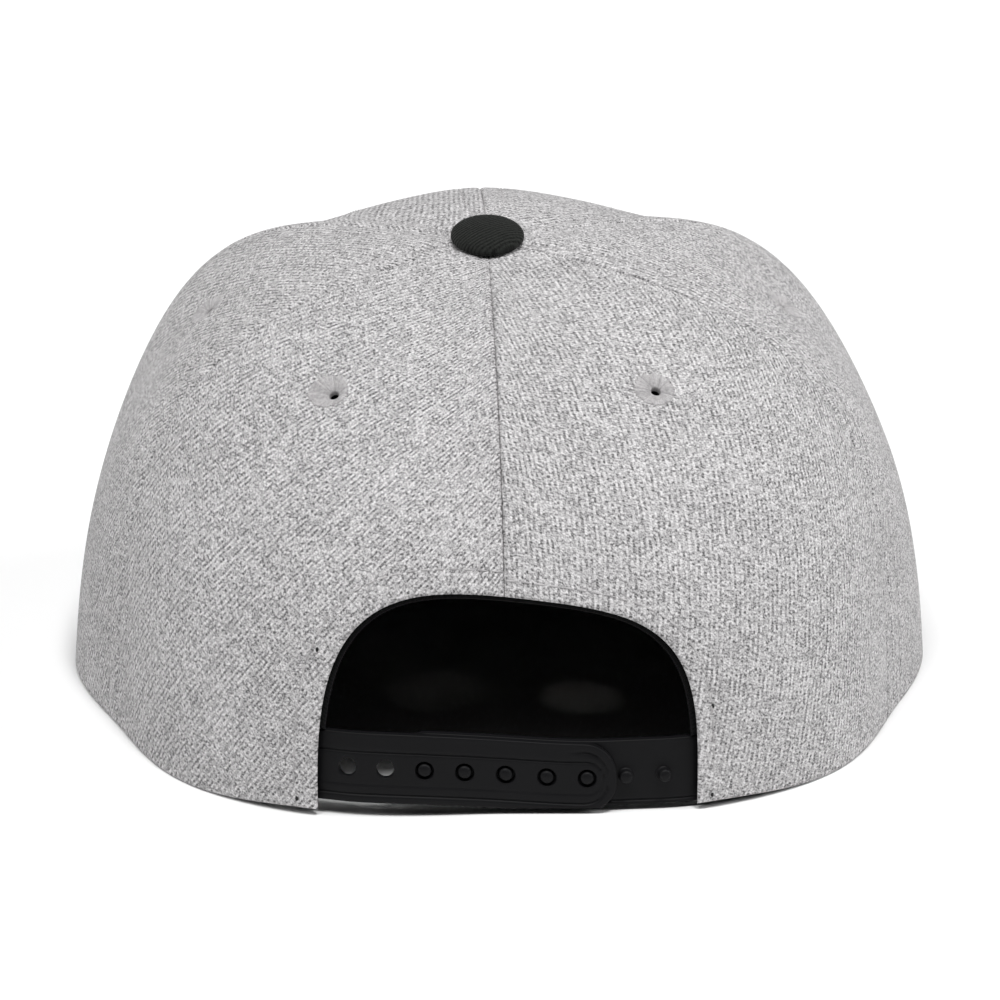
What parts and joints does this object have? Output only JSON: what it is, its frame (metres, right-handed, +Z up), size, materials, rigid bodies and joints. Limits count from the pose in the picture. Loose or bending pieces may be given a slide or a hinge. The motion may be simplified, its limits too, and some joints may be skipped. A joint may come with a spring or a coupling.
{
  "type": "snapback cap",
  "caption": "Snapback cap with a structured panelled crown, flat brim, top button, stitched eyelets and a plastic snap strap across a half-moon back opening.",
  "frame": {"origin": "on the surface that the cap rests on, under the middle of its length and width", "axes": "+Z up through the crown, -Y out along the brim, +Y to the snap strap at the back, +X to the wearer's left"},
  "size_m": [0.2038, 0.2606, 0.1098],
  "materials": {
    "crown_cloth": "heather grey twill, matte",
    "thread": "grey embroidery thread, slight sheen",
    "button_cloth": "black twill, matte",
    "brim_cloth": "black twill, matte",
    "strap_plastic": "moulded black plastic, satin",
    "dark_tape": "black woven tape, matte"
  },
  "bodies": {
    "root": {"crown_panel_front_left": "crown_cloth", "crown_panel_front_right": "crown_cloth", "crown_panel_side_left": "crown_cloth", "crown_panel_side_right": "crown_cloth", "crown_panel_back_left": "crown_cloth", "crown_panel_back_right": "crown_cloth", "eyelet_front_left": "thread", "eyelet_front_right": "thread", "eyelet_side_left": "thread", "eyelet_side_right": "thread", "eyelet_back_left": "thread", "eyelet_back_right": "thread", "button": "button_cloth", "brim": "brim_cloth", "strap_with_holes": "strap_plastic", "strap_with_pegs": "strap_plastic", "opening_tape": "dark_tape"}
  },
  "joints": []
}
